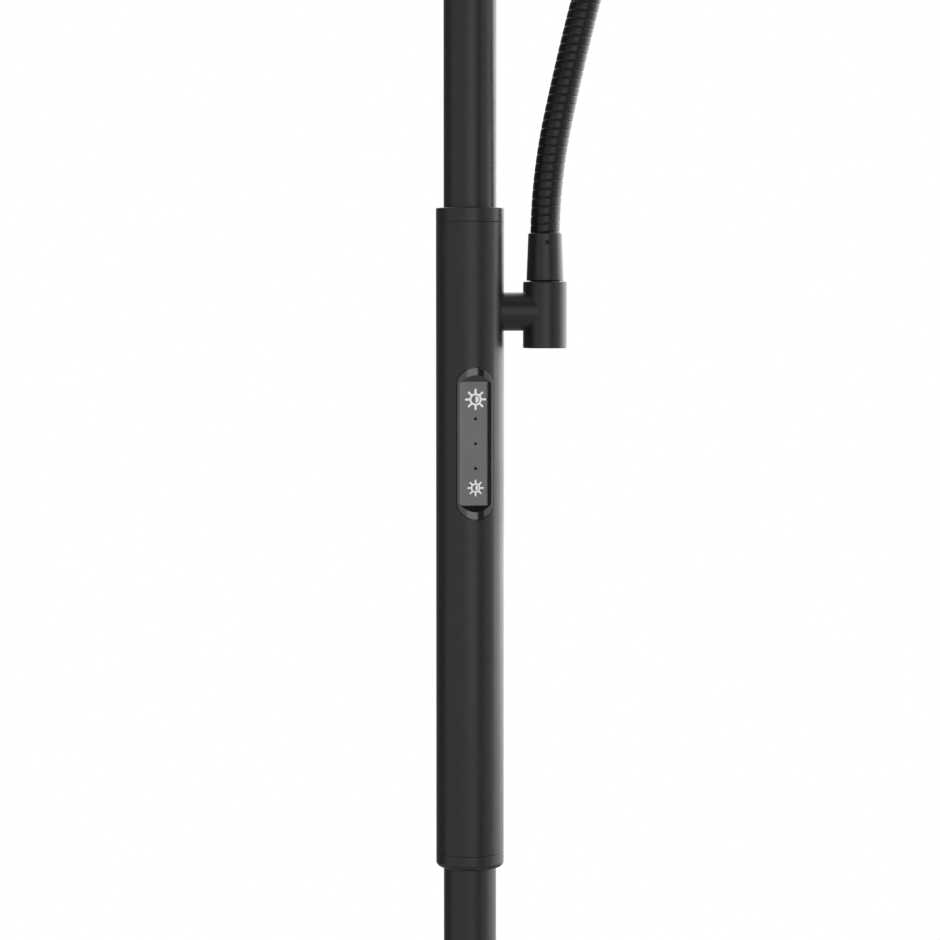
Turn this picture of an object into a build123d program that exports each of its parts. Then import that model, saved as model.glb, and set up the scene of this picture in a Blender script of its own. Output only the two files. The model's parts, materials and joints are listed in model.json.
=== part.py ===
"""Reading floor lamp: weighted foot, slim pole with a touch control, side gooseneck and tilting uplight.

Millimetres. Z is up from the floor, the touch cover faces -Y and the side arm leaves along +X.
"""
import os
from math import cos, radians, sin

from build123d import *

os.makedirs("parts", exist_ok=True)

# Clearances, and how far a cut runs on past the wall it goes through
press_gap = 0.02
slide_gap = 0.05
loose_gap = 0.3
cut_over = 5.0

# Weighted foot
foot_r = 140.0
foot_top = 20.0
foot_skin = 1.5
foot_round = 6.0
skirt_z = 1.2
pad_inset = 9.0
pad_t = 2.0
weight_inset = 10.0
nut_well_r = 20.0
nut_well_h = 9.0
nipple_r = 6.0
nipple_bore_r = 4.0
nipple_lift = 1.0
foot_washer_r = 16.0
foot_washer_t = 2.0
foot_nut_r = 9.5
foot_nut_h = 5.5
channel_w = 11.0
channel_h = 10.5
gland_z = 7.5
gland_r = 4.5
gland_bore_r = 3.3
gland_in = 7.0
gland_flange_w = 1.5
gland_flange_t = 2.5
gland_round = 1.0

# Poles
pole_r = 12.7
pole_wall = 1.2
pole_socket = 20.0
pole_top = 1740.0
plug_h = 30.0
plug_spare = 2.0

# Control housing, the thicker length of the pole
housing_z = 900.9
housing_h = 319.1
housing_step = 3.7
housing_wall = 1.5
bottom_cap_h = 7.0
bottom_round = 2.6
top_cap_h = 6.7
top_round = 0.6
cap_spigot_h = 17.7
wire_r = 9.0
seam_round = 0.25
cap_screw_r = 2.0
cap_screw_in = 7.5
cap_screw_sink = 0.6
cap_key_r = 1.0
cap_key_depth = 1.5

# Touch cover: a gloss insert flush with the housing, with a flat milled into its front
touch_drop = 112.75
cover_w = 17.7
cover_h = 73.1
cover_t = 4.5
cover_seam = 0.25
cover_round = 0.35
lip_w = 1.5
lip_t = 1.2
flat_depth = 1.62
flat_end = 6.95
wall_run = 3.2
edge_in = 5.3
edge_out = 7.95
edge_over = 0.05
dot_pitch = 11.9
dot_r = 0.76
dot_t = 1.0
dot_sink = 0.6
icon_offset = 21.2
icon_sizes = [1.05, 0.82]
icon_rays = 8
icon_ring_r = 2.8
icon_ring_in = 1.95
icon_ray_mid = 3.6
icon_ray_len = 2.6
icon_ray_w = 0.95
icon_moon_r = 1.5
print_t = 0.12

# Electrics inside the housing
sensor_w = 14.0
sensor_t = 1.6
sensor_round = 1.0
driver_w = 20.0
driver_d = 17.0
driver_h = 110.0
driver_round = 1.5
lead_r = 2.5
lead_x = -3.0
lead_y = 5.0

# Side tee and swivel
arm_reach = 20.45
stub_drop = 49.75
stub_r = 9.3
stub_thread_r = 6.0
stub_bore_r = 3.0
saddle_x = 8.0
saddle_r = 8.5
stub_nut_r = 8.0
stub_nut_t = 4.5
thread_spare = 1.0
tee_drop = 67.4
tee_h = 32.2
tee_r = 10.6
tee_blend = 0.5
tee_top_round = 0.9
tee_foot_round = 0.4
well_r = 8.0
well_roof = 4.0
stop_r = 4.5
stop_gap = 0.6
plug_t = 3.8
plug_sink = 0.2
shaft_r = 5.0
shaft_bore_r = 3.0
shaft_below = 4.5
shaft_above = 12.0
swivel_washer_r = 7.2
swivel_washer_t = 0.3
swivel_nut_r = 6.5
swivel_nut_h = 4.2
swivel_play = 0.1
pin_r = 1.0
pin_len = 4.0
pin_sink = 0.2

# Gooseneck: ribs of one pitch, in eight lengths that lean further and further over
rib_pitch = 4.2
ribs = 13
crest_r = 7.1
groove_depth = 0.45
groove_half = 0.5
hose_bore_r = 3.0
hose_seat = 10.0
ball_inset = 0.25
ball_gap = 0.3
neck_inset = 0.65
leans = [1.0, 12.0, 14.6, 27.0, 50.0, 78.0, 106.0, 131.0, 147.0]

# Ferrules at both ends of the gooseneck
ferrule_h = 23.0
ferrule_lip = 1.0
ferrule_flare = 0.87
ferrule_round = 0.7
ferrule_foot_round = 0.5
set_screw_in = 4.6
set_screw_turn = 4.5
set_screw_r = 1.05
set_screw_len = 1.4
set_key_r = 0.5
set_key_depth = 1.0

# Reading head, measured along its own axis from the gooseneck's end
head_r = 28.0
head_wall = 1.8
head_back = 30.0
head_front = 84.0
head_back_t = 2.0
head_round = 10.0
neck_flare = 0.5
neck_round = 2.0
head_spigot = 10.0
ring_lip = 2.0
ring_seat = 2.5
ring_w = 2.0
ring_round = 0.8
lens_t = 2.5
reflector_h = 19.4
reflector_wall = 1.5
reflector_rim = 1.0
reflector_throat_r = 7.5
reading_board_r = 22.0
reading_board_t = 1.6
reading_led_r = 6.0
reading_led_t = 0.8
sink_h = 14.0

# Tilt joint, measured from the pole's top
tilt_rise = 26.0
fork_plug_h = 25.0
collar_h = 8.0
collar_round = 1.0
fork_bore_r = 3.5
ear_r = 8.0
ear_t = 4.0
ear_foot = 1.0
lug_r = 7.5
lug_half = 3.95
tilt_washer_r = 7.0
tilt_washer_t = 1.5
tilt_pin_r = 3.0
bolt_head_r = 5.5
bolt_head_t = 3.5
bolt_spare = 5.0
bolt_key_r = 2.0
bolt_key_depth = 2.5
bolt_round = 0.6
tilt_nut_r = 5.0
tilt_nut_t = 4.0
plate_w = 44.0
plate_d = 30.0
plate_t = 3.0
plate_rise = 13.0
plate_round = 4.0
plate_screw_x = 16.0
plate_screw_y = 10.0
plate_screw_r = 2.0
screw_head_r = 3.4
screw_head_t = 2.0
screw_key_r = 1.25
screw_key_depth = 1.2

# Uplight head
dish_r = 140.0
dish_h = 22.0
dish_wall = 1.5
rim_w = 35.0
rim_h = 16.0
uplight_board_inset = 5.0
uplight_board_t = 1.6
uplight_led_w = 5.0
uplight_led_t = 0.9
uplight_led_pitch = 26.5
uplight_led_rings = 3
uplight_leds_inside = 8
diffuser_t = 3.0
diffuser_ring_w = 10.3
diffuser_ring_t = 2.0

# Sizes and heights that follow from those above
pad_r = foot_r - pad_inset
weight_r = foot_r - weight_inset
nut_well_z = pad_t + nut_well_h
foot_washer_z = nut_well_z - foot_washer_t
pole_bore_r = pole_r - pole_wall
housing_r = pole_r + housing_step
housing_bore_r = housing_r - housing_wall
housing_top = housing_z + housing_h
tube_low = housing_z + bottom_cap_h
tube_high = housing_top - top_cap_h
cap_screw_zs = [tube_low + cap_screw_in, tube_high - cap_screw_in]
panel_z = housing_top - touch_drop
flat_y = housing_r - flat_depth
flat_h = cover_h - 2 * flat_end
driver_low = tube_low + cap_spigot_h
driver_high = driver_low + driver_h
arm_x = housing_r + arm_reach
stub_z = housing_top - stub_drop
tee_low = housing_top - tee_drop
tee_top = tee_low + tee_h
well_top = tee_top - well_roof
ferrule_top = tee_top + swivel_washer_t + ferrule_h
ferrule_mouth_r = crest_r + ferrule_lip
ferrule_foot_r = ferrule_mouth_r + ferrule_flare
groove_r = crest_r - groove_depth
neck_r = crest_r - neck_inset
ball_r = crest_r - ball_inset
length = rib_pitch * ribs
lengths = len(leans) - 1
arm_len = length * lengths
head_bore_r = head_r - head_wall
lens_front = head_front - ring_seat
lens_back = lens_front - lens_t
board_front = lens_back - reflector_h
sink_front = board_front - reading_board_t
sink_back = sink_front - sink_h
tilt_z = pole_top + tilt_rise
plate_z = tilt_z + plate_rise
dish_z = plate_z + plate_t
dish_top = dish_z + dish_h
diffuser_z = dish_top - diffuser_t
diffuser_r = dish_r - dish_wall - slide_gap


def spin(outline, plane=Plane.XZ, rounds=()):
    """Turns an outline of (radius, height) points about the plane's Y axis, with some corners rounded."""
    with BuildSketch(plane) as profile:
        with BuildLine():
            Polyline(*outline, close=True)
        make_face()
        for corner, radius in rounds:
            fillet(profile.vertices().sort_by_distance(corner)[0], radius)
    revolve(profile.sketch, axis=Axis(plane.origin, plane.y_dir))


def tube(inner, outer, low, high):
    """Outline of a plain ring or tube, for spin."""
    return [(inner, low), (outer, low), (outer, high), (inner, high)]


def round_bar(plane, radius, amount, mode=Mode.ADD):
    """A round bar that starts on the plane, added or cut."""
    with BuildSketch(plane) as end:
        Circle(radius)
    extrude(end.sketch, amount=amount, mode=mode)


def hex_bar(plane, flat_r, amount, mode=Mode.ADD):
    """A hexagonal bar that starts on the plane, its radius taken to the flats."""
    with BuildSketch(plane) as end:
        RegularPolygon(flat_r, 6, major_radius=False)
    extrude(end.sketch, amount=amount, mode=mode)


def arm_point(s):
    """The gooseneck's centre (x, z) and lean in degrees, s mm along it from the lower ferrule's mouth."""
    x, z, lean = arm_x, ferrule_top, leans[0] if s > 0 else 0.0
    for start, end in zip(leans, leans[1:]):
        step = min(s, length)
        if step <= 0:
            break
        turn = radians(end - start) * step / length
        chord = 2 * step / turn * sin(turn / 2)
        x += chord * sin(radians(start) + turn / 2)
        z += chord * cos(radians(start) + turn / 2)
        lean = start + (end - start) * step / length
        s -= step
    return x + s * sin(radians(lean)), z + s * cos(radians(lean)), lean


def arm_section(s):
    """Plane square across the gooseneck, with its X axis always sideways."""
    x, z, lean = arm_point(s)
    return Plane(origin=(x, 0, z), x_dir=(0, 1, 0), z_dir=(sin(radians(lean)), 0, cos(radians(lean))))


def arm_profile(s):
    """Plane along the gooseneck for turned pieces: its Y axis follows the arm."""
    x, z, lean = arm_point(s)
    return Plane(origin=(x, 0, z), x_dir=(cos(radians(lean)), 0, -sin(radians(lean))), z_dir=(0, -1, 0))


def rib_circles(number):
    """(distance, radius) of the circles that shape one length of gooseneck."""
    first = (number - 1) * length
    last = number * length
    circles = []
    for rib in range(ribs):
        low = first + rib * rib_pitch
        circles.append((low, groove_r))
        circles.append((low + groove_half, crest_r))
        circles.append((low + rib_pitch - groove_half, crest_r))
    if number == 1:
        circles[:1] = [(first - hose_seat, shaft_r), (first, shaft_r)]
    else:
        circles[:2] = [(first, crest_r)]
    if number == lengths:
        circles += [(last, shaft_r), (last + hose_seat, shaft_r)]
    else:
        circles[-2:] = [(last - rib_pitch + groove_half, neck_r), (last, neck_r)]
    return circles


# Foot
with BuildPart() as base_pad:
    spin(tube(0, pad_r, 0, pad_t))
base_pad.part.label = "base_pad"
export_step(base_pad.part, "parts/base_pad.step")

with BuildPart() as base_weight:
    spin(tube(nipple_r + loose_gap, weight_r, pad_t, foot_top - foot_skin))
    round_bar(Plane.XY.offset(pad_t), nut_well_r, nut_well_h, mode=Mode.SUBTRACT)
    with BuildSketch(Plane.XY.offset(pad_t)):
        with Locations((0, weight_r / 2)):
            Rectangle(channel_w, weight_r + cut_over)
    extrude(amount=channel_h, mode=Mode.SUBTRACT)
base_weight.part.label = "base_weight"
export_step(base_weight.part, "parts/base_weight.step")

cover_outline = [
    (nipple_r + loose_gap, foot_top),
    (foot_r, foot_top),
    (foot_r, skirt_z),
    (foot_r - foot_skin, skirt_z),
    (foot_r - foot_skin, foot_top - foot_skin),
    (nipple_r + loose_gap, foot_top - foot_skin),
]
cover_rounds = [
    ((foot_r, foot_top), foot_round),
    ((foot_r - foot_skin, foot_top - foot_skin), foot_round - foot_skin),
]
gland_mouth = Plane(origin=(0, foot_r - gland_in, gland_z), z_dir=(0, 1, 0))
with BuildPart() as base_cover:
    spin(cover_outline, rounds=cover_rounds)
    round_bar(gland_mouth, gland_r + slide_gap, gland_in + cut_over, mode=Mode.SUBTRACT)
base_cover.part.label = "base_cover"
export_step(base_cover.part, "parts/base_cover.step")

with BuildPart() as foot_nipple:
    spin(tube(nipple_bore_r, nipple_r, pad_t + nipple_lift, foot_top + plug_h - plug_spare))
foot_nipple.part.label = "foot_nipple"
export_step(foot_nipple.part, "parts/foot_nipple.step")

with BuildPart() as foot_washer:
    spin(tube(nipple_r + slide_gap, foot_washer_r, foot_washer_z, nut_well_z))
foot_washer.part.label = "foot_washer"
export_step(foot_washer.part, "parts/foot_washer.step")

foot_nut_seat = Plane.XY.offset(foot_washer_z)
with BuildPart() as foot_nut:
    hex_bar(foot_nut_seat, foot_nut_r, -foot_nut_h)
    round_bar(foot_nut_seat, nipple_r + press_gap, -foot_nut_h, mode=Mode.SUBTRACT)
foot_nut.part.label = "foot_nut"
export_step(foot_nut.part, "parts/foot_nut.step")

gland_axis = Plane(origin=(0, foot_r, gland_z), x_dir=(1, 0, 0), z_dir=(0, 0, 1))
gland_flange_r = gland_r + gland_flange_w
gland_outline = [
    (gland_bore_r, -gland_in),
    (gland_r, -gland_in),
    (gland_r, 0.0),
    (gland_flange_r, 0.0),
    (gland_flange_r, gland_flange_t),
    (gland_bore_r, gland_flange_t),
]
with BuildPart() as cord_gland:
    spin(gland_outline, plane=gland_axis, rounds=[((gland_flange_r, gland_flange_t), gland_round)])
cord_gland.part.label = "cord_gland"
export_step(cord_gland.part, "parts/cord_gland.step")

# Poles
with BuildPart() as pole_foot_plug:
    spin(tube(nipple_r + press_gap, pole_bore_r - slide_gap, foot_top, foot_top + plug_h))
pole_foot_plug.part.label = "pole_foot_plug"
export_step(pole_foot_plug.part, "parts/pole_foot_plug.step")

with BuildPart() as lower_pole:
    spin(tube(pole_bore_r, pole_r, foot_top, housing_z + pole_socket))
lower_pole.part.label = "lower_pole"
export_step(lower_pole.part, "parts/lower_pole.step")

with BuildPart() as upper_pole:
    spin(tube(pole_bore_r, pole_r, housing_top - pole_socket, pole_top))
upper_pole.part.label = "upper_pole"
export_step(upper_pole.part, "parts/upper_pole.step")

# Control housing
bottom_cap_outline = [
    (pole_r + press_gap, housing_z),
    (housing_r, housing_z),
    (housing_r, tube_low),
    (housing_bore_r - slide_gap, tube_low),
    (housing_bore_r - slide_gap, tube_low + cap_spigot_h),
    (wire_r, tube_low + cap_spigot_h),
    (wire_r, housing_z + pole_socket),
    (pole_r + press_gap, housing_z + pole_socket),
]
bottom_rounds = [
    ((housing_r, housing_z), bottom_round),
    ((housing_r, tube_low), seam_round),
]
cap_screw_axes = [Plane(origin=(0, 0, z), z_dir=(0, 1, 0)) for z in cap_screw_zs]
with BuildPart() as bottom_cap:
    spin(bottom_cap_outline, rounds=bottom_rounds)
    round_bar(cap_screw_axes[0], cap_screw_r + press_gap, housing_r, mode=Mode.SUBTRACT)
bottom_cap.part.label = "bottom_cap"
export_step(bottom_cap.part, "parts/bottom_cap.step")

top_cap_outline = [
    (pole_r + press_gap, housing_top),
    (housing_r, housing_top),
    (housing_r, tube_high),
    (housing_bore_r - slide_gap, tube_high),
    (housing_bore_r - slide_gap, tube_high - cap_spigot_h),
    (wire_r, tube_high - cap_spigot_h),
    (wire_r, housing_top - pole_socket),
    (pole_r + press_gap, housing_top - pole_socket),
]
top_rounds = [
    ((housing_r, housing_top), top_round),
    ((housing_r, tube_high), seam_round),
]
with BuildPart() as top_cap:
    spin(top_cap_outline, rounds=top_rounds)
    round_bar(cap_screw_axes[1], cap_screw_r + press_gap, housing_r, mode=Mode.SUBTRACT)
top_cap.part.label = "top_cap"
export_step(top_cap.part, "parts/top_cap.step")

panel_plane = Plane(origin=(0, 0, panel_z), x_dir=(1, 0, 0), z_dir=(0, -1, 0))
stub_plane = Plane(origin=(0, 0, stub_z), x_dir=(0, 1, 0), z_dir=(1, 0, 0))
tube_rounds = [
    ((housing_r, tube_low), seam_round),
    ((housing_r, tube_high), seam_round),
]
with BuildPart() as housing_tube:
    spin(tube(housing_bore_r, housing_r, tube_low, tube_high), rounds=tube_rounds)
    with BuildSketch(panel_plane):
        SlotOverall(cover_h + 2 * cover_seam, cover_w + 2 * cover_seam, rotation=90)
    extrude(amount=housing_r + cut_over, mode=Mode.SUBTRACT)
    round_bar(stub_plane, stub_thread_r + slide_gap, housing_r + cut_over, mode=Mode.SUBTRACT)
    for axis in cap_screw_axes:
        round_bar(axis, cap_screw_r + slide_gap, housing_r + cut_over, mode=Mode.SUBTRACT)
housing_tube.part.label = "housing_tube"
export_step(housing_tube.part, "parts/housing_tube.step")

cap_screw_tip = pole_r + 2 * press_gap
cap_screw_end = housing_r - cap_screw_sink
with BuildPart() as cap_screws:
    for axis in cap_screw_axes:
        round_bar(axis.offset(cap_screw_tip), cap_screw_r, cap_screw_end - cap_screw_tip)
        hex_bar(axis.offset(cap_screw_end), cap_key_r, -cap_key_depth, mode=Mode.SUBTRACT)
cap_screws.part.label = "cap_screws"
export_step(cap_screws.part, "parts/cap_screws.step")

# Touch control: the lip behind the cover and the shape milled out of its front come first
with BuildPart() as cover_lip:
    spin(tube(housing_bore_r - lip_t, housing_bore_r - press_gap, panel_z - cover_h, panel_z + cover_h))
    with BuildSketch(panel_plane):
        SlotOverall(cover_h + 2 * lip_w, cover_w + 2 * lip_w, rotation=90)
    extrude(amount=housing_r, mode=Mode.INTERSECT)

front_y = housing_r + cut_over
edge_y = ((housing_r + edge_over) ** 2 - edge_out ** 2) ** 0.5
wall_out = flat_h / 2 + wall_run * (front_y - flat_y) / flat_depth
with BuildPart() as cover_milling:
    with BuildSketch(Plane.XY.offset(panel_z - cover_h)):
        with BuildLine():
            Line((-edge_in, -flat_y), (edge_in, -flat_y))
            TangentArc((edge_in, -flat_y), (edge_out, -edge_y), tangent=(1, 0))
            Polyline((edge_out, -edge_y), (edge_out, -front_y), (-edge_out, -front_y), (-edge_out, -edge_y))
            TangentArc((-edge_in, -flat_y), (-edge_out, -edge_y), tangent=(-1, 0))
        make_face()
    extrude(amount=2 * cover_h)
    with BuildSketch(Plane(origin=(-cover_w, 0, panel_z), x_dir=(0, 1, 0), z_dir=(1, 0, 0))):
        with BuildLine():
            Polyline(
                (-front_y, wall_out),
                (-flat_y + flat_depth, flat_h / 2 - wall_run),
                (-flat_y + flat_depth, wall_run - flat_h / 2),
                (-front_y, -wall_out),
                close=True,
            )
        make_face()
    extrude(amount=2 * cover_w, mode=Mode.INTERSECT)

dot_points = [(0, dot_pitch), (0, 0), (0, -dot_pitch)]
with BuildPart() as touch_cover:
    with BuildSketch(panel_plane.offset(flat_y - cover_t)):
        SlotOverall(cover_h, cover_w, rotation=90)
    extrude(amount=cover_t + flat_depth)
    round_bar(Plane.XY.offset(panel_z - cover_h), housing_r, 2 * cover_h, mode=Mode.INTERSECT)
    fillet(touch_cover.faces().sort_by(Axis.Y)[0].edges(), cover_round)
    add(cover_lip.part)
    add(cover_milling.part, mode=Mode.SUBTRACT)
    with BuildSketch(panel_plane.offset(flat_y)):
        with Locations(*dot_points):
            Circle(dot_r + press_gap)
    extrude(amount=-dot_sink - dot_t, mode=Mode.SUBTRACT)
touch_cover.part.label = "touch_cover"
export_step(touch_cover.part, "parts/touch_cover.step")

with BuildPart() as indicator_dots:
    with BuildSketch(panel_plane.offset(flat_y - dot_sink)):
        with Locations(*dot_points):
            Circle(dot_r)
    extrude(amount=-dot_t)
indicator_dots.part.label = "indicator_dots"
export_step(indicator_dots.part, "parts/indicator_dots.step")

with BuildPart() as panel_icons:
    for up, size in zip([icon_offset, -icon_offset], icon_sizes):
        with BuildSketch(panel_plane.offset(flat_y)):
            with Locations((0, up)):
                Circle(icon_ring_r * size)
                with PolarLocations(icon_ray_mid * size, icon_rays):
                    SlotOverall(icon_ray_len * size, icon_ray_w * size)
                Circle(icon_ring_in * size, mode=Mode.SUBTRACT)
        extrude(amount=print_t)
        with BuildSketch(panel_plane.offset(flat_y)):
            with Locations((0, up)):
                Circle(icon_moon_r * size)
                Rectangle(icon_ring_r, 2 * icon_ring_r, align=(Align.MAX, Align.CENTER), mode=Mode.SUBTRACT)
        extrude(amount=print_t)
panel_icons.part.label = "panel_icons"
export_step(panel_icons.part, "parts/panel_icons.step")

with BuildPart() as sensor_board:
    with BuildSketch(panel_plane.offset(flat_y - cover_t)):
        RectangleRounded(sensor_w, flat_h, sensor_round)
    extrude(amount=-sensor_t)
sensor_board.part.label = "sensor_board"
export_step(sensor_board.part, "parts/sensor_board.step")

with BuildPart() as led_driver:
    with BuildSketch(Plane.XY.offset(driver_low)):
        RectangleRounded(driver_w, driver_d, driver_round)
    extrude(amount=driver_h)
led_driver.part.label = "led_driver"
export_step(led_driver.part, "parts/led_driver.step")

with BuildPart() as uplight_lead:
    round_bar(Plane(origin=(lead_x, lead_y, driver_high)), lead_r, pole_top - fork_plug_h - driver_high)
uplight_lead.part.label = "uplight_lead"
export_step(uplight_lead.part, "parts/uplight_lead.step")

# Side tee, one casting with the stub that screws into the housing
tee_foot = Plane(origin=(arm_x, 0, tee_low))
thread_x = saddle_x - stub_nut_t - thread_spare
across_housing = Plane.XY.offset(stub_z - housing_r)
with BuildPart() as side_tee:
    round_bar(tee_foot, tee_r, tee_h)
    round_bar(stub_plane, stub_r, arm_x)
    fillet(side_tee.edges(Select.NEW), tee_blend)
    fillet(side_tee.edges().group_by(Axis.Z)[-1], tee_top_round)
    fillet(side_tee.edges().group_by(Axis.Z)[0], tee_foot_round)
    round_bar(across_housing, housing_r + press_gap, 2 * housing_r, mode=Mode.SUBTRACT)
    round_bar(stub_plane.offset(thread_x), stub_thread_r, arm_x - tee_r - thread_x)
    round_bar(tee_foot, well_r, well_top - tee_low, mode=Mode.SUBTRACT)
    round_bar(stub_plane.offset(arm_x - tee_r), stop_r, tee_r - shaft_r - stop_gap)
    round_bar(stub_plane, stub_bore_r, arm_x, mode=Mode.SUBTRACT)
    round_bar(tee_foot, shaft_r + slide_gap, tee_h, mode=Mode.SUBTRACT)
side_tee.part.label = "side_tee"
export_step(side_tee.part, "parts/side_tee.step")

with BuildPart() as stub_saddle:
    round_bar(stub_plane.offset(saddle_x), saddle_r, housing_r - saddle_x)
    round_bar(across_housing, housing_bore_r - slide_gap, 2 * housing_r, mode=Mode.INTERSECT)
    round_bar(stub_plane, stub_thread_r + slide_gap, housing_r, mode=Mode.SUBTRACT)
stub_saddle.part.label = "stub_saddle"
export_step(stub_saddle.part, "parts/stub_saddle.step")

with BuildPart() as stub_nut:
    hex_bar(stub_plane.offset(saddle_x), stub_nut_r, -stub_nut_t)
    round_bar(stub_plane.offset(saddle_x), stub_thread_r + press_gap, -stub_nut_t, mode=Mode.SUBTRACT)
stub_nut.part.label = "stub_nut"
export_step(stub_nut.part, "parts/stub_nut.step")

with BuildPart() as tee_plug:
    round_bar(tee_foot.offset(plug_sink), well_r - press_gap, plug_t)
tee_plug.part.label = "tee_plug"
export_step(tee_plug.part, "parts/tee_plug.step")

arm_axis = Plane(origin=(arm_x, 0, 0), x_dir=(1, 0, 0), z_dir=(0, -1, 0))
with BuildPart() as swivel_washer:
    spin(tube(shaft_r + slide_gap, swivel_washer_r, tee_top, tee_top + swivel_washer_t), plane=arm_axis)
swivel_washer.part.label = "swivel_washer"
export_step(swivel_washer.part, "parts/swivel_washer.step")

pin_plane = Plane(origin=(arm_x, 0, stub_z), z_dir=(1, 0, 0))
with BuildPart() as swivel_shaft:
    spin(tube(shaft_bore_r, shaft_r, stub_z - shaft_below, tee_top + shaft_above), plane=arm_axis)
    round_bar(pin_plane, pin_r + press_gap, shaft_r + cut_over, mode=Mode.SUBTRACT)
swivel_shaft.part.label = "swivel_shaft"
export_step(swivel_shaft.part, "parts/swivel_shaft.step")

swivel_nut_seat = Plane(origin=(arm_x, 0, well_top - swivel_play))
with BuildPart() as swivel_nut:
    hex_bar(swivel_nut_seat, swivel_nut_r, -swivel_nut_h)
    round_bar(swivel_nut_seat, shaft_r + press_gap, -swivel_nut_h, mode=Mode.SUBTRACT)
swivel_nut.part.label = "swivel_nut"
export_step(swivel_nut.part, "parts/swivel_nut.step")

with BuildPart() as swivel_stop_pin:
    round_bar(pin_plane.offset(shaft_bore_r + pin_sink), pin_r, pin_len)
swivel_stop_pin.part.label = "swivel_stop_pin"
export_step(swivel_stop_pin.part, "parts/swivel_stop_pin.step")

# Ferrules and their set screws
ferrule_outline = [
    (shaft_r + press_gap, 0.0),
    (ferrule_mouth_r, 0.0),
    (ferrule_foot_r, ferrule_h),
    (shaft_r + press_gap, ferrule_h),
]
ferrule_rounds = [
    ((ferrule_mouth_r, 0.0), ferrule_round),
    ((ferrule_foot_r, ferrule_h), ferrule_foot_round),
]
screw_dir = (-sin(radians(set_screw_turn)), -cos(radians(set_screw_turn)), 0)
set_screw_tip = shaft_r + press_gap
lower_mouth = Plane(origin=(arm_x, 0, ferrule_top), x_dir=(1, 0, 0), z_dir=(0, 1, 0))
lower_screw = Plane(origin=(arm_x, 0, ferrule_top - set_screw_in), z_dir=screw_dir)
with BuildPart() as arm_ferrule:
    spin(ferrule_outline, plane=lower_mouth, rounds=ferrule_rounds)
    round_bar(lower_screw, set_screw_r + press_gap, ferrule_foot_r + cut_over, mode=Mode.SUBTRACT)
arm_ferrule.part.label = "arm_ferrule"
export_step(arm_ferrule.part, "parts/arm_ferrule.step")

with BuildPart() as ferrule_screw:
    round_bar(lower_screw.offset(set_screw_tip), set_screw_r, set_screw_len)
    hex_bar(lower_screw.offset(set_screw_tip + set_screw_len), set_key_r, -set_key_depth, mode=Mode.SUBTRACT)
ferrule_screw.part.label = "ferrule_screw"
export_step(ferrule_screw.part, "parts/ferrule_screw.step")

head_plane = arm_profile(arm_len)
screw_x, screw_z, _ = arm_point(arm_len + set_screw_in)
upper_screw = Plane(origin=(screw_x, 0, screw_z), z_dir=(0, -1, 0))
with BuildPart() as head_ferrule:
    spin(ferrule_outline, plane=head_plane, rounds=ferrule_rounds)
    round_bar(upper_screw, set_screw_r + press_gap, ferrule_foot_r + cut_over, mode=Mode.SUBTRACT)
head_ferrule.part.label = "head_ferrule"
export_step(head_ferrule.part, "parts/head_ferrule.step")

with BuildPart() as head_ferrule_screw:
    round_bar(upper_screw.offset(set_screw_tip), set_screw_r, set_screw_len)
    hex_bar(upper_screw.offset(set_screw_tip + set_screw_len), set_key_r, -set_key_depth, mode=Mode.SUBTRACT)
head_ferrule_screw.part.label = "head_ferrule_screw"
export_step(head_ferrule_screw.part, "parts/head_ferrule_screw.step")

# Gooseneck: each length ends in a ball that sits in the next one's hollow
for number in range(1, lengths + 1):
    start = (number - 1) * length
    end = number * length
    bore_start = start - hose_seat if number == 1 else start
    with BuildPart() as gooseneck:
        for distance, radius in rib_circles(number):
            with BuildSketch(arm_section(distance)):
                Circle(radius)
        loft(ruled=True)
        if number < lengths:
            with Locations(arm_section(end).origin):
                Sphere(ball_r)
        if number > 1:
            with Locations(arm_section(start).origin):
                Sphere(ball_r + ball_gap, mode=Mode.SUBTRACT)
        with BuildLine() as bore_line:
            if number == 1:
                Line(arm_section(bore_start).origin, arm_section(start).origin)
            ThreePointArc(
                arm_section(start).origin,
                arm_section((start + end) / 2).origin,
                arm_section(end).origin,
            )
            Line(arm_section(end).origin, arm_section(end).offset(hose_seat + cut_over).origin)
        with BuildSketch(arm_section(bore_start)):
            Circle(hose_bore_r)
        sweep(path=bore_line.wire(), mode=Mode.SUBTRACT)
    gooseneck.part.label = f"gooseneck_{number}"
    export_step(gooseneck.part, f"parts/gooseneck_{number}.step")

# Reading head
shell_floor = head_back + head_back_t
neck_top_r = ferrule_foot_r + neck_flare
shell_outline = [
    (shaft_bore_r, ferrule_h - head_spigot),
    (shaft_r, ferrule_h - head_spigot),
    (shaft_r, ferrule_h),
    (ferrule_foot_r, ferrule_h),
    (neck_top_r, head_back),
    (head_r, head_back),
    (head_r, head_front),
    (head_bore_r, head_front),
    (head_bore_r, shell_floor),
    (shaft_bore_r, shell_floor),
]
shell_rounds = [
    ((head_r, head_back), head_round),
    ((head_bore_r, shell_floor), head_round - head_wall),
    ((neck_top_r, head_back), neck_round),
]
with BuildPart() as head_shell:
    spin(shell_outline, plane=head_plane, rounds=shell_rounds)
head_shell.part.label = "head_shell"
export_step(head_shell.part, "parts/head_shell.step")

with BuildPart() as head_heat_sink:
    spin(tube(shaft_bore_r, head_bore_r - slide_gap, sink_back, sink_front), plane=head_plane)
head_heat_sink.part.label = "head_heat_sink"
export_step(head_heat_sink.part, "parts/head_heat_sink.step")

with BuildPart() as reading_led_board:
    spin(tube(0, reading_board_r, sink_front, board_front), plane=head_plane)
    spin(tube(0, reading_led_r, board_front, board_front + reading_led_t), plane=head_plane)
reading_led_board.part.label = "reading_led_board"
export_step(reading_led_board.part, "parts/reading_led_board.step")

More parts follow.
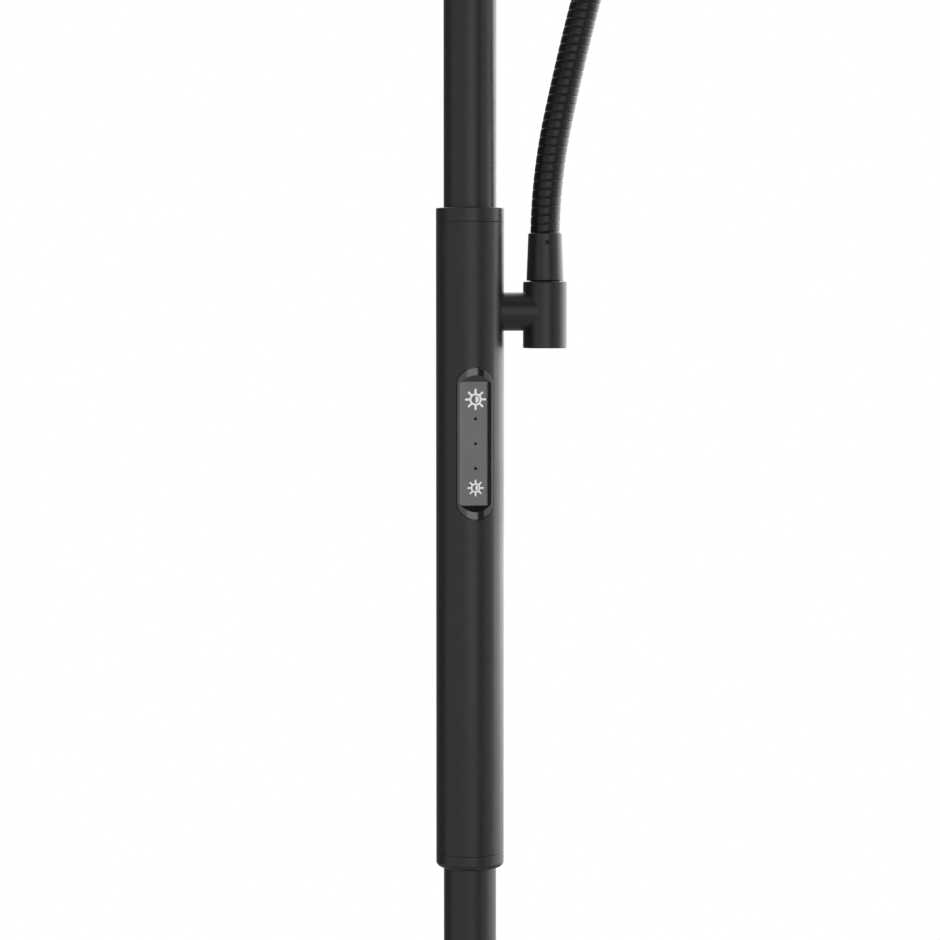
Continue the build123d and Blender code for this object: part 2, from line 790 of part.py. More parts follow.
reflector_r = head_bore_r - slide_gap
reflector_outline = [
    (reflector_throat_r, board_front),
    (reflector_throat_r + reflector_wall, board_front),
    (reflector_r, lens_back - reflector_rim),
    (reflector_r, lens_back),
    (reflector_r - reflector_wall, lens_back),
]
with BuildPart() as reading_reflector:
    spin(reflector_outline, plane=head_plane)
reading_reflector.part.label = "reading_reflector"
export_step(reading_reflector.part, "parts/reading_reflector.step")

with BuildPart() as reading_lens:
    spin(tube(0, head_bore_r - slide_gap, lens_back, lens_front), plane=head_plane)
reading_lens.part.label = "reading_lens"
export_step(reading_lens.part, "parts/reading_lens.step")

ring_outline = [
    (head_bore_r - ring_w, lens_front),
    (head_bore_r - slide_gap, lens_front),
    (head_bore_r - slide_gap, head_front),
    (head_r, head_front),
    (head_r, head_front + ring_lip),
    (head_bore_r - ring_w, head_front + ring_lip),
]
with BuildPart() as head_ring:
    spin(ring_outline, plane=head_plane, rounds=[((head_r, head_front + ring_lip), ring_round)])
head_ring.part.label = "head_ring"
export_step(head_ring.part, "parts/head_ring.step")

# Tilt joint at the pole's top
fork_foot = Plane.XY.offset(pole_top - fork_plug_h)
fork_side = Plane(origin=(0, 0, tilt_z), x_dir=(0, 1, 0), z_dir=(1, 0, 0))
ear_in = lug_half + slide_gap + tilt_washer_t
ear_out = ear_in + ear_t
collar_top = pole_top + collar_h
ear_h = tilt_z - collar_top + ear_foot
with BuildPart() as pole_top_fork:
    spin(tube(0, pole_bore_r - slide_gap, pole_top - fork_plug_h, pole_top))
    spin(tube(0, pole_r, pole_top, collar_top), rounds=[((pole_r, collar_top), collar_round)])
    for side in (ear_in, -ear_out):
        with BuildSketch(fork_side.offset(side)):
            Circle(ear_r)
            Rectangle(2 * ear_r, ear_h, align=(Align.CENTER, Align.MAX))
            Circle(tilt_pin_r + press_gap, mode=Mode.SUBTRACT)
        extrude(amount=ear_t)
    round_bar(fork_foot, fork_bore_r, fork_plug_h + collar_h, mode=Mode.SUBTRACT)
pole_top_fork.part.label = "pole_top_fork"
export_step(pole_top_fork.part, "parts/pole_top_fork.step")

with BuildPart() as tilt_washers:
    for side in (ear_in - tilt_washer_t, -ear_in):
        round_bar(fork_side.offset(side), tilt_washer_r, tilt_washer_t)
        round_bar(fork_side.offset(side), tilt_pin_r + slide_gap, tilt_washer_t, mode=Mode.SUBTRACT)
tilt_washers.part.label = "tilt_washers"
export_step(tilt_washers.part, "parts/tilt_washers.step")

bolt_face = fork_side.offset(-ear_out - bolt_head_t)
with BuildPart() as tilt_bolt:
    round_bar(bolt_face, bolt_head_r, bolt_head_t)
    fillet(tilt_bolt.edges().group_by(Axis.X)[0], bolt_round)
    round_bar(fork_side.offset(-ear_out), tilt_pin_r, 2 * ear_out + bolt_spare)
    hex_bar(bolt_face, bolt_key_r, bolt_key_depth, mode=Mode.SUBTRACT)
tilt_bolt.part.label = "tilt_bolt"
export_step(tilt_bolt.part, "parts/tilt_bolt.step")

with BuildPart() as tilt_nut:
    hex_bar(fork_side.offset(ear_out), tilt_nut_r, tilt_nut_t)
    round_bar(fork_side.offset(ear_out), tilt_pin_r + press_gap, tilt_nut_t, mode=Mode.SUBTRACT)
tilt_nut.part.label = "tilt_nut"
export_step(tilt_nut.part, "parts/tilt_nut.step")

plate_plane = Plane.XY.offset(plate_z)
screw_points = [
    (plate_screw_x, plate_screw_y),
    (plate_screw_x, -plate_screw_y),
    (-plate_screw_x, plate_screw_y),
    (-plate_screw_x, -plate_screw_y),
]
with BuildPart() as tilt_knuckle:
    with BuildSketch(fork_side.offset(-lug_half)):
        Circle(lug_r)
        Rectangle(2 * lug_r, plate_rise, align=(Align.CENTER, Align.MIN))
        Circle(tilt_pin_r + slide_gap, mode=Mode.SUBTRACT)
    extrude(amount=2 * lug_half)
    with BuildSketch(plate_plane):
        RectangleRounded(plate_w, plate_d, plate_round)
        with Locations(*screw_points):
            Circle(plate_screw_r + slide_gap, mode=Mode.SUBTRACT)
    extrude(amount=plate_t)
tilt_knuckle.part.label = "tilt_knuckle"
export_step(tilt_knuckle.part, "parts/tilt_knuckle.step")

with BuildPart() as knuckle_screws:
    with BuildSketch(plate_plane):
        with Locations(*screw_points):
            Circle(plate_screw_r)
    extrude(amount=plate_t + dish_wall)
    with BuildSketch(plate_plane):
        with Locations(*screw_points):
            Circle(screw_head_r)
    extrude(amount=-screw_head_t)
    with BuildSketch(plate_plane.offset(-screw_head_t)):
        with Locations(*screw_points):
            RegularPolygon(screw_key_r, 6, major_radius=False)
    extrude(amount=screw_key_depth, mode=Mode.SUBTRACT)
knuckle_screws.part.label = "knuckle_screws"
export_step(knuckle_screws.part, "parts/knuckle_screws.step")

# Uplight head
dish_flat_r = dish_r - rim_w
with BuildPart() as uplight_dish:
    with BuildSketch(Plane.XZ):
        with BuildLine():
            Line((0, dish_z), (dish_flat_r, dish_z))
            TangentArc((dish_flat_r, dish_z), (dish_r, dish_z + rim_h), tangent=(1, 0))
            Polyline((dish_r, dish_z + rim_h), (dish_r, dish_top), (0, dish_top), (0, dish_z))
        make_face()
    revolve(axis=Axis.Z)
    offset(amount=-dish_wall, openings=uplight_dish.faces().sort_by(Axis.Z)[-1])
    with BuildSketch(Plane.XY.offset(dish_z)):
        with Locations(*screw_points):
            Circle(plate_screw_r + press_gap)
    extrude(amount=dish_wall, mode=Mode.SUBTRACT)
uplight_dish.part.label = "uplight_dish"
export_step(uplight_dish.part, "parts/uplight_dish.step")

board_z = dish_z + dish_wall
board_r = dish_flat_r - uplight_board_inset
with BuildPart() as uplight_led_board:
    round_bar(Plane.XY.offset(board_z), board_r, uplight_board_t)
    for ring in range(uplight_led_rings):
        with BuildSketch(Plane.XY.offset(board_z + uplight_board_t)):
            leds = uplight_leds_inside * (uplight_led_rings - ring)
            with PolarLocations(board_r - (ring + 0.5) * uplight_led_pitch, leds):
                Rectangle(uplight_led_w, uplight_led_w)
        extrude(amount=uplight_led_t)
uplight_led_board.part.label = "uplight_led_board"
export_step(uplight_led_board.part, "parts/uplight_led_board.step")

with BuildPart() as diffuser_ring:
    spin(tube(diffuser_r - diffuser_ring_w, diffuser_r, diffuser_z - diffuser_ring_t, diffuser_z))
diffuser_ring.part.label = "diffuser_ring"
export_step(diffuser_ring.part, "parts/diffuser_ring.step")

with BuildPart() as uplight_diffuser:
    spin(tube(0, diffuser_r, diffuser_z, dish_top))
uplight_diffuser.part.label = "uplight_diffuser"
export_step(uplight_diffuser.part, "parts/uplight_diffuser.step")
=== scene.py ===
"""Reading floor lamp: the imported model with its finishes, a wound gooseneck, studio light and a camera."""
import json
from math import cos, pi, radians, sin

import bmesh
import bpy
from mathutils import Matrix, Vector


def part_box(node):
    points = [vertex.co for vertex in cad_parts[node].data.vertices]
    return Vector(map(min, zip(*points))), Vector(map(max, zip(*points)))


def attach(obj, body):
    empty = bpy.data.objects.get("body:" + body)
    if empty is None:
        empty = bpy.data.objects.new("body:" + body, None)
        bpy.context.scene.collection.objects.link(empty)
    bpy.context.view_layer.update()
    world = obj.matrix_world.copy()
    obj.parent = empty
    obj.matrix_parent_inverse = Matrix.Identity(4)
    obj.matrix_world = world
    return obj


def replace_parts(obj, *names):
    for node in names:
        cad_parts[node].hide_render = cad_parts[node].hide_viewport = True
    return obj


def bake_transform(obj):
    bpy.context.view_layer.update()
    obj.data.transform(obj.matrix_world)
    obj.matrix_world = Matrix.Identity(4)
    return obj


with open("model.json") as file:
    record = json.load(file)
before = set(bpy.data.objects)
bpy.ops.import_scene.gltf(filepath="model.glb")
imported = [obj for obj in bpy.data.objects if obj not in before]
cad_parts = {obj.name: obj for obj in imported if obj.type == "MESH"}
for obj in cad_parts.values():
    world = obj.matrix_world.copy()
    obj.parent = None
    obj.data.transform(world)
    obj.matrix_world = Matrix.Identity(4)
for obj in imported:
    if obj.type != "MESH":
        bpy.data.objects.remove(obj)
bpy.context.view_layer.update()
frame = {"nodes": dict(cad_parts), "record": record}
nodes = frame["nodes"]

# Finishes: the used part of a noise's range, then changes of roughness and shares of the colour
NOISE_LOW = 0.3
NOISE_HIGH = 0.7
BRUSHED_SHEEN = 0.08
BRUSHED_TONES = (0.9, 1.08)
MOULDED_SHEEN = 0.05
MOULDED_TONES = (0.92, 1.06)

# Gooseneck, in metres, with its leans from upright at the ends of its sections in degrees
RIB_PITCH = 0.0042
RIBS_PER_SECTION = 13
SECTION_LEN = RIB_PITCH * RIBS_PER_SECTION
LEANS = [1.0, 12.0, 14.6, 27.0, 50.0, 78.0, 106.0, 131.0, 147.0]
SECTIONS = len(LEANS) - 1
HOSE_LEN = SECTION_LEN * SECTIONS
HOSE_SEAT = 0.0002
HOSE_SIDES = 48
CREST_R = 0.0071
GROOVE_R = 0.00678
WIND_PITCH = 0.00416
WIND_START = 0.0015
BLEND_MARGIN = 0.0025
WELD = 1e-7

# Height of the wound strip: (share of its pitch, share of the way from groove to crest)
STRIP = [(0.0, 0.0), (0.03, 0.08), (0.06, 0.6), (0.11, 0.86), (0.25, 0.96), (0.45, 1.0),
         (0.65, 0.98), (0.82, 0.92), (0.93, 0.68), (0.97, 0.1)]

# Camera, in metres and degrees, with its rise counted from the housing's top
CAMERA_AZIMUTH = -10.3
CAMERA_PITCH = 3.362
CAMERA_DISTANCE = 1.45
CAMERA_RISE = -0.041
LENS_MM = 115.12
SENSOR_MM = 36.0

# Edges of the studio's tall cards, in degrees to the right of the camera
LEFT_RIM = -168.0
LEFT_BACK = -136.0
LEFT_SIDE = -90.0
FRONT_LEFT = -10.5
FRONT_RIGHT = 26.0
GAP_RIGHT = 48.5
RIGHT_FRONT = 75.0
RIGHT_SOFT = 88.0
RIGHT_SIDE = 98.0
RIGHT_BACK = 142.0
RIGHT_RIM = 165.0
BACK_RIGHT = 150.0
BACK_LEFT = 210.0

# Studio, in metres: the cards' distance, heights and hole, then the floor and the stretch where it fades
CARD_DISTANCE = 2.2
CARD_LOW = -0.5
CARD_HIGH = 3.0
FOOT_TOP = 0.6
RIGHT_LOW_TOP = 0.62
FRONT_TOP = 2.15
BACK_LOW = 2.0
BACK_TOP = 3.4
FLAT_CARD_HOLE = 0.001
FLOOR_R = 2.6
FLOOR_Z = -0.0003
FLOOR_FADE = (0.5, 2.4)

# Steps of the studio's round shapes, and strengths of the world's light
TALL_CARD_STEPS = 12
FLAT_CARD_STEPS = 72
FLOOR_SIDES = 96
WORLD_DIFFUSE = 0.85
WORLD_SHOWN = 1.0


def grey(level):
    """A neutral colour."""
    return (level, level, level)


def finish(name, colour, roughness, **sockets):
    """A material with its plain shader inputs set by name."""
    material = bpy.data.materials.new(name)
    material.use_nodes = True
    shader = material.node_tree.nodes["Principled BSDF"]
    shader.inputs["Base Color"].default_value = (*colour, 1.0)
    shader.inputs["Roughness"].default_value = roughness
    for socket, value in sockets.items():
        shader.inputs[socket.replace("_", " ")].default_value = value
    return material


def own_space(tree):
    """Places in the object's own space."""
    return tree.nodes.new("ShaderNodeTexCoord").outputs["Object"]


def noise(material, size, detail=2.0, finer=(1, 1, 1)):
    """Cloudy noise with patches about size metres wide, made finer along each axis by a factor."""
    tree = material.node_tree
    mapping = tree.nodes.new("ShaderNodeMapping")
    mapping.inputs["Scale"].default_value = finer
    texture = tree.nodes.new("ShaderNodeTexNoise")
    texture.inputs["Scale"].default_value = 1 / size
    texture.inputs["Detail"].default_value = detail
    tree.links.new(own_space(tree), mapping.inputs["Vector"])
    tree.links.new(mapping.outputs["Vector"], texture.inputs["Vector"])
    return texture.outputs["Fac"]


def cells(material, size):
    """Rounded cells about size metres wide, low in their middles."""
    tree = material.node_tree
    texture = tree.nodes.new("ShaderNodeTexVoronoi")
    texture.inputs["Scale"].default_value = 1 / size
    tree.links.new(own_space(tree), texture.inputs["Vector"])
    return texture.outputs["Distance"]


def bump(material, pattern, depth):
    """Raises the surface by a pattern, depth metres high."""
    tree = material.node_tree
    relief = tree.nodes.new("ShaderNodeBump")
    relief.inputs["Distance"].default_value = depth
    tree.links.new(pattern, relief.inputs["Height"])
    tree.links.new(relief.outputs["Normal"], tree.nodes["Principled BSDF"].inputs["Normal"])


def spread(material, pattern, low, high):
    """Lets the roughness wander between two values."""
    tree = material.node_tree
    levels = tree.nodes.new("ShaderNodeMapRange")
    levels.inputs["From Min"].default_value = NOISE_LOW
    levels.inputs["From Max"].default_value = NOISE_HIGH
    levels.inputs["To Min"].default_value = low
    levels.inputs["To Max"].default_value = high
    tree.links.new(pattern, levels.inputs["Value"])
    tree.links.new(levels.outputs["Result"], tree.nodes["Principled BSDF"].inputs["Roughness"])


def tint(material, pattern, dark, light):
    """Lets the colour wander between two colours."""
    tree = material.node_tree
    ramp = tree.nodes.new("ShaderNodeValToRGB")
    ramp.color_ramp.elements[0].position = NOISE_LOW
    ramp.color_ramp.elements[0].color = (*dark, 1.0)
    ramp.color_ramp.elements[1].position = NOISE_HIGH
    ramp.color_ramp.elements[1].color = (*light, 1.0)
    tree.links.new(pattern, ramp.inputs["Fac"])
    tree.links.new(ramp.outputs["Color"], tree.nodes["Principled BSDF"].inputs["Base Color"])


def powder_coat():
    """Satin black powder coat: a fine orange peel and a slight change of sheen."""
    paint = finish("black_paint", grey(0.014), roughness=0.35)
    bump(paint, noise(paint, size=0.0014), depth=0.000004)
    spread(paint, noise(paint, size=0.03), low=0.32, high=0.38)
    tint(paint, noise(paint, size=0.004), dark=grey(0.012), light=grey(0.016))
    return paint


def hose_lacquer():
    """Thin black lacquer on the wound steel strip, its sheen drawn along the strip."""
    lacquer = finish("hose_black", grey(0.003), roughness=0.36)
    bump(lacquer, noise(lacquer, size=0.0008), depth=0.000003)
    spread(lacquer, noise(lacquer, size=0.006, finer=(1, 1, 6)), low=0.32, high=0.4)
    tint(lacquer, noise(lacquer, size=0.002), dark=grey(0.002), light=grey(0.004))
    return lacquer


def cast_iron():
    """Sand-cast iron: coarse grain and dull patches."""
    iron = finish("cast_iron", grey(0.1), roughness=0.6, Metallic=1.0)
    bump(iron, noise(iron, size=0.0012, detail=6.0), depth=0.00015)
    spread(iron, noise(iron, size=0.02), low=0.5, high=0.75)
    tint(iron, noise(iron, size=0.006, detail=4.0), dark=grey(0.07), light=grey(0.14))
    return iron


def foam():
    """Closed-cell foam of the foot's pad."""
    pad = finish("foot_pad", grey(0.03), roughness=0.9)
    bump(pad, cells(pad, size=0.0009), depth=0.0002)
    tint(pad, noise(pad, size=0.005), dark=grey(0.022), light=grey(0.038))
    return pad


def brushed(name, level, roughness, finer=(1, 1, 40)):
    """Bare metal with fine lines across its Z axis, or with an even grain where no axis is finer."""
    metal = finish(name, grey(level), roughness, Metallic=1.0)
    lines = noise(metal, size=0.006, detail=4.0, finer=finer)
    bump(metal, lines, depth=0.000006)
    spread(metal, lines, roughness - BRUSHED_SHEEN, roughness + BRUSHED_SHEEN)
    dark, light = BRUSHED_TONES
    tint(metal, noise(metal, size=0.01), grey(level * dark), grey(level * light))
    return metal


def moulded(name, colour, roughness, size=0.0006, depth=0.00001):
    """Moulded plastic with a fine even texture."""
    plastic = finish(name, colour, roughness)
    bump(plastic, noise(plastic, size), depth)
    spread(plastic, noise(plastic, size=0.008), roughness - MOULDED_SHEEN, roughness + MOULDED_SHEEN)
    dark, light = MOULDED_TONES
    tint(plastic, noise(plastic, size=0.003), [c * dark for c in colour], [c * light for c in colour])
    return plastic


def touch_gloss():
    """Dark lustrous insert, wiped smooth."""
    gloss = finish("touch_gloss", grey(0.12), roughness=0.15, Metallic=1.0)
    bump(gloss, noise(gloss, size=0.004), depth=0.000002)
    spread(gloss, noise(gloss, size=0.006, finer=(1, 1, 3)), low=0.14, high=0.17)
    tint(gloss, noise(gloss, size=0.01), dark=grey(0.116), light=grey(0.124))
    return gloss


def opal():
    """Milky diffuser with a fine prismatic stipple."""
    milk = finish("opal", (0.82, 0.82, 0.8), roughness=0.35, Subsurface_Weight=0.15, Subsurface_Scale=0.002)
    bump(milk, cells(milk, size=0.0016), depth=0.00006)
    spread(milk, noise(milk, size=0.02), low=0.3, high=0.42)
    tint(milk, noise(milk, size=0.03), dark=(0.8, 0.8, 0.775), light=(0.84, 0.84, 0.82))
    return milk


FINISHES = {
    "black_paint": powder_coat(),
    "hose_black": hose_lacquer(),
    "cast_iron": cast_iron(),
    "foot_pad": foam(),
    "zinc_steel": brushed("zinc_steel", level=0.55, roughness=0.35),
    "black_screw": brushed("black_screw", level=0.03, roughness=0.4, finer=(1, 1, 1)),
    "black_plastic": moulded("black_plastic", grey(0.012), roughness=0.5),
    "touch_gloss": touch_gloss(),
    "icon_white": moulded("icon_white", grey(0.85), roughness=0.5, size=0.0003, depth=0.000004),
    "dot_black": moulded("dot_black", grey(0.003), roughness=0.6),
    "board_green": moulded("board_green", (0.02, 0.15, 0.05), roughness=0.5),
    "driver_white": moulded("driver_white", grey(0.7), roughness=0.5),
    "lead_rubber": moulded("lead_rubber", grey(0.02), roughness=0.6),
    "board_alloy": moulded("board_alloy", grey(0.8), roughness=0.5),
    "sink_alloy": brushed("sink_alloy", level=0.6, roughness=0.4),
    "reflector_alloy": brushed("reflector_alloy", level=0.8, roughness=0.18, finer=(1, 1, 1)),
    "opal": opal(),
    "ring_white": moulded("ring_white", grey(0.75), roughness=0.5),
}
for subpart in frame["record"]["subparts"]:
    node = nodes[subpart["node"]]
    node.data.materials.clear()
    node.data.materials.append(FINISHES[subpart["material_slot"]])


def place(name, data):
    """Links a mesh or a camera into the scene as an object."""
    piece = bpy.data.objects.new(name, data)
    bpy.context.scene.collection.objects.link(piece)
    return piece


# Wound gooseneck
ferrule_low, ferrule_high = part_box("arm_ferrule")
HOSE_START = Vector(((ferrule_low.x + ferrule_high.x) / 2, 0.0, ferrule_high.z))


def hose_point(s):
    """Centre of the hose and its lean in radians, s metres along it from the lower ferrule's mouth."""
    x, z, lean = HOSE_START.x, HOSE_START.z, 0.0
    for start, end in zip(LEANS, LEANS[1:]):
        step = min(s, SECTION_LEN)
        if step <= 0:
            break
        turn = radians(end - start) * step / SECTION_LEN
        chord = 2 * step / turn * sin(turn / 2)
        x += chord * sin(radians(start) + turn / 2)
        z += chord * cos(radians(start) + turn / 2)
        lean = radians(start) + turn
        s -= step
    # Beyond its ends the hose is straight
    return Vector((x + s * sin(lean), 0.0, z + s * cos(lean))), lean


def strip_radius(phase):
    """Hose radius at a place across the wound strip, phase 0 to 1."""
    ends = STRIP + [(1.0, 0.0)]
    for (low, a), (high, b) in zip(ends, ends[1:]):
        if phase <= high:
            share = a + (b - a) * (phase - low) / (high - low)
            return GROOVE_R + share * (CREST_R - GROOVE_R)
    return GROOVE_R


def skin_point(s, around):
    """A point on the hose's skin, s metres along it and a share of a turn around it."""
    phase = ((s - WIND_START) / WIND_PITCH - around) % 1.0
    centre, lean = hose_point(s)
    across = Vector((cos(lean), 0.0, -sin(lean)))
    aside = Vector((0.0, 1.0, 0.0))
    angle = 2 * pi * around
    return centre + strip_radius(phase) * (cos(angle) * across + sin(angle) * aside)


def hose_mesh(name, low, high):
    """A length of hose between two distances along it, with its groove wound as a right-hand screw."""
    mesh = bmesh.new()
    first = int((low - WIND_START) // WIND_PITCH) - 1
    last = int((high - WIND_START) // WIND_PITCH) + 1
    rows = [turn + phase for turn in range(first, last + 2) for phase, _ in STRIP]
    grid = []
    for row in rows:
        ring = []
        for side in range(HOSE_SIDES):
            around = side / HOSE_SIDES
            s = min(max((row + around) * WIND_PITCH + WIND_START, low), high)
            ring.append(mesh.verts.new(skin_point(s, around)))
        grid.append(ring)
    # A row closes on the row one turn further along
    turn_rows = len(STRIP)
    for row in range(len(rows) - turn_rows - 1):
        lower = grid[row] + [grid[row + turn_rows][0]]
        upper = grid[row + 1] + [grid[row + turn_rows + 1][0]]
        for side in range(HOSE_SIDES):
            mesh.faces.new([lower[side], lower[side + 1], upper[side + 1], upper[side]])
    bmesh.ops.remove_doubles(mesh, verts=mesh.verts, dist=WELD)
    loose = [vert for vert in mesh.verts if not vert.link_faces]
    bmesh.ops.delete(mesh, geom=loose, context="VERTS")
    bmesh.ops.recalc_face_normals(mesh, faces=mesh.faces)
    for face in mesh.faces:
        face.smooth = True
    data = bpy.data.meshes.new(name)
    mesh.to_mesh(data)
    mesh.free()
    data.materials.append(FINISHES["hose_black"])
    hose = place(name, data)
    return hose


NECK_BODIES = ["arm_root"] + [f"neck_{i}" for i in range(2, SECTIONS)] + ["reading_head"]
MIDDLES = [(i + 0.5) * SECTION_LEN for i in range(SECTIONS)]

hose_foot = hose_mesh("hose_foot", -HOSE_SEAT, MIDDLES[0])
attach(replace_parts(hose_foot, "gooseneck_1"), NECK_BODIES[0])
for i in range(SECTIONS - 1):
    bend = hose_mesh(f"hose_bend_{i + 1}", MIDDLES[i], MIDDLES[i + 1])
    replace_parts(bend, f"gooseneck_{i + 2}")
    start = hose_point(MIDDLES[i] + BLEND_MARGIN)[0]
    end = hose_point(MIDDLES[i + 1] - BLEND_MARGIN)[0]
    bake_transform(bend)
hose_tip = hose_mesh("hose_tip", MIDDLES[-1], HOSE_LEN + HOSE_SEAT)
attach(hose_tip, NECK_BODIES[-1])


def emission(name, strength):
    """A plain light-giving material."""
    material = bpy.data.materials.new(name)
    material.use_nodes = True
    tree = material.node_tree
    tree.nodes.clear()
    light = tree.nodes.new("ShaderNodeEmission")
    light.inputs["Strength"].default_value = strength
    output = tree.nodes.new("ShaderNodeOutputMaterial")
    tree.links.new(light.outputs["Emission"], output.inputs["Surface"])
    return material


def stand_card(name, verts, faces, strength):
    """Puts up a card of the studio, which shows only in reflections."""
    data = bpy.data.meshes.new(name)
    data.from_pydata(verts, [], faces)
    data.materials.append(emission(name, strength))
    panel = place(name, data)
    panel.visible_camera = False
    panel.visible_diffuse = False
    panel.visible_shadow = False
    panel.visible_transmission = False


def tall_card(name, left, right, strength, bottom=CARD_LOW, top=CARD_HIGH):
    """A tall curved card between two angles to the right of the camera."""
    points = []
    for i in range(TALL_CARD_STEPS + 1):
        angle = radians(CAMERA_AZIMUTH + left + (right - left) * i / TALL_CARD_STEPS)
        points.append((CARD_DISTANCE * sin(angle), -CARD_DISTANCE * cos(angle)))
    verts = [(x, y, bottom) for x, y in points] + [(x, y, top) for x, y in points]
    count = len(points)
    faces = [(i, i + 1, count + i + 1, count + i) for i in range(TALL_CARD_STEPS)]
    stand_card(name, verts, faces, strength)


def flat_card(name, radius, height, strength, hole=FLAT_CARD_HOLE, forward=0.0, turn=0.0):
    """A level round card with a hole, moved off the pole at an angle to the right of the camera."""
    x0 = forward * sin(radians(CAMERA_AZIMUTH + turn))
    y0 = -forward * cos(radians(CAMERA_AZIMUTH + turn))
    steps = FLAT_CARD_STEPS
    turns = [2 * pi * i / steps for i in range(steps)]
    verts = [(x0 + radius * cos(a), y0 + radius * sin(a), height) for a in turns]
    verts += [(x0 + hole * cos(a), y0 + hole * sin(a), height) for a in turns]
    faces = [(i, (i + 1) % steps, steps + (i + 1) % steps, steps + i) for i in range(steps)]
    stand_card(name, verts, faces, strength)


# Tall cards about the lamp
tall_card("front_card", FRONT_LEFT, FRONT_RIGHT, strength=1.27, bottom=FOOT_TOP, top=FRONT_TOP)
tall_card("front_foot_card", FRONT_LEFT, FRONT_RIGHT, strength=0.6, top=FOOT_TOP)
tall_card("left_card", LEFT_SIDE, FRONT_LEFT, strength=0.6, top=FRONT_TOP)
tall_card("left_back_card", LEFT_BACK, LEFT_SIDE, strength=0.07)
tall_card("left_rim_card", LEFT_RIM, LEFT_BACK, strength=0.2)
tall_card("gap_card", FRONT_RIGHT, GAP_RIGHT, strength=0.09)
tall_card("right_front_card", GAP_RIGHT, RIGHT_FRONT, strength=0.66)
tall_card("right_soft_card", RIGHT_FRONT, RIGHT_SOFT, strength=0.85)
tall_card("right_side_card", RIGHT_SOFT, RIGHT_SIDE, strength=2.0)
tall_card("right_back_card", RIGHT_SIDE, RIGHT_BACK, strength=3.6, bottom=RIGHT_LOW_TOP)
tall_card("right_rim_card", RIGHT_BACK, RIGHT_RIM, strength=2.6, bottom=RIGHT_LOW_TOP)
tall_card("right_low_card", RIGHT_SIDE, RIGHT_RIM, strength=1.3, top=RIGHT_LOW_TOP)
tall_card("front_high_card", LEFT_SIDE, GAP_RIGHT, strength=0.04, bottom=FRONT_TOP, top=BACK_TOP)
tall_card("back_high_card", BACK_RIGHT, BACK_LEFT, strength=2.9, bottom=BACK_LOW, top=BACK_TOP)

# Level cards overhead and close to the floor
flat_card("ceiling_card", radius=1.4, height=3.2, strength=0.06, forward=2.0, turn=10.0)
flat_card("overhead_card", radius=0.9, height=3.35, strength=0.6)
flat_card("low_card", radius=2.2, height=0.03, strength=0.34, hole=0.2)


def combine(tree, operation, first, second):
    """A math operation on two values."""
    node = tree.nodes.new("ShaderNodeMath")
    node.operation = operation
    tree.links.new(first, node.inputs[0])
    tree.links.new(second, node.inputs[1])
    return node.outputs[0]


def mix_shaders(tree, share, first, second):
    """The first shader where share is 0 and the second where it is 1."""
    mix = tree.nodes.new("ShaderNodeMixShader")
    tree.links.new(share, mix.inputs[0])
    tree.links.new(first, mix.inputs[1])
    tree.links.new(second, mix.inputs[2])
    return mix.outputs[0]


def shown_rays(tree):
    """1 for rays that show the background: straight from the camera, mirrored or through glass."""
    paths = tree.nodes.new("ShaderNodeLightPath")
    shown = paths.outputs["Is Camera Ray"]
    for ray in ("Is Glossy Ray", "Is Transmission Ray"):
        shown = combine(tree, "MAXIMUM", shown, paths.outputs[ray])
    return shown


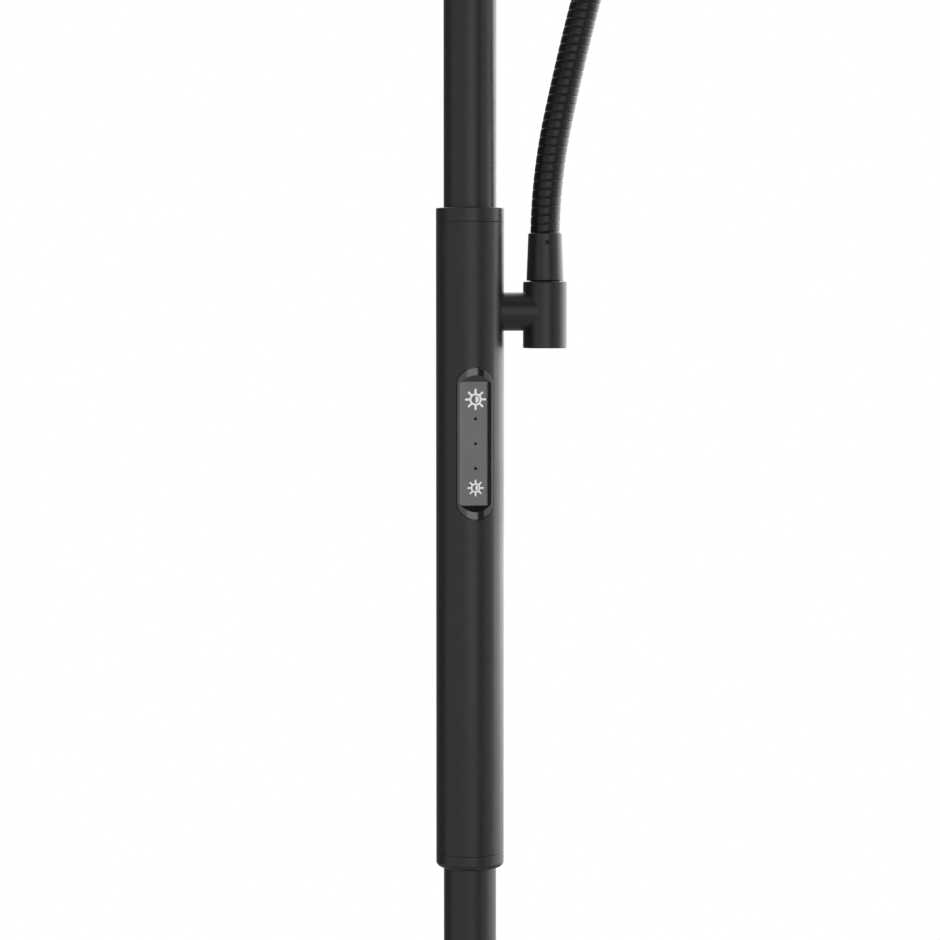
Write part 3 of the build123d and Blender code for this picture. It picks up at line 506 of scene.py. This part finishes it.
def floor_white():
    """Pale floor: it keeps the lamp's shadow, fades to the background's white and is clear from below."""
    material = finish("floor_white", grey(0.92), roughness=0.7)
    tree = material.node_tree
    reach = tree.nodes.new("ShaderNodeVectorMath")
    reach.operation = "LENGTH"
    tree.links.new(own_space(tree), reach.inputs[0])
    fade = tree.nodes.new("ShaderNodeMapRange")
    fade.interpolation_type = "SMOOTHSTEP"
    fade.inputs["From Min"].default_value = FLOOR_FADE[0]
    fade.inputs["From Max"].default_value = FLOOR_FADE[1]
    tree.links.new(reach.outputs["Value"], fade.inputs["Value"])
    share = combine(tree, "MULTIPLY", fade.outputs["Result"], shown_rays(tree))
    pale = tree.nodes["Principled BSDF"].outputs[0]
    white = tree.nodes.new("ShaderNodeEmission").outputs[0]
    clear = tree.nodes.new("ShaderNodeBsdfTransparent").outputs[0]
    below = tree.nodes.new("ShaderNodeNewGeometry").outputs["Backfacing"]
    surface = mix_shaders(tree, below, mix_shaders(tree, share, pale, white), clear)
    tree.links.new(surface, tree.nodes["Material Output"].inputs["Surface"])
    return material


# Floor
floor_data = bpy.data.meshes.new("floor")
floor_mesh = bmesh.new()
bmesh.ops.create_circle(floor_mesh, cap_ends=True, segments=FLOOR_SIDES, radius=FLOOR_R)
floor_mesh.to_mesh(floor_data)
floor_mesh.free()
floor_data.materials.append(floor_white())
floor = place("floor", floor_data)
floor.location.z = FLOOR_Z


def background(tree, strength):
    """Plain white world light."""
    light = tree.nodes.new("ShaderNodeBackground")
    light.inputs["Color"].default_value = (*grey(1.0), 1.0)
    light.inputs["Strength"].default_value = strength
    return light.outputs[0]


# World: plain white where it shows, a little less as light
world = bpy.data.worlds.new("studio")
world.use_nodes = True
bpy.context.scene.world = world
tree = world.node_tree
tree.nodes.clear()
sky = mix_shaders(tree, shown_rays(tree), background(tree, WORLD_DIFFUSE), background(tree, WORLD_SHOWN))
output = tree.nodes.new("ShaderNodeOutputWorld")
tree.links.new(sky, output.inputs["Surface"])

# Camera
housing_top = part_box("top_cap")[1].z
camera_data = bpy.data.cameras.new("camera")
camera_data.lens = LENS_MM
camera_data.sensor_width = SENSOR_MM
camera = place("camera", camera_data)
camera.location = (
    CAMERA_DISTANCE * sin(radians(CAMERA_AZIMUTH)),
    -CAMERA_DISTANCE * cos(radians(CAMERA_AZIMUTH)),
    housing_top + CAMERA_RISE,
)
camera.rotation_euler = (radians(90 - CAMERA_PITCH), 0.0, radians(CAMERA_AZIMUTH))
bpy.context.scene.camera = camera
bpy.context.scene.view_settings.view_transform = "Standard"
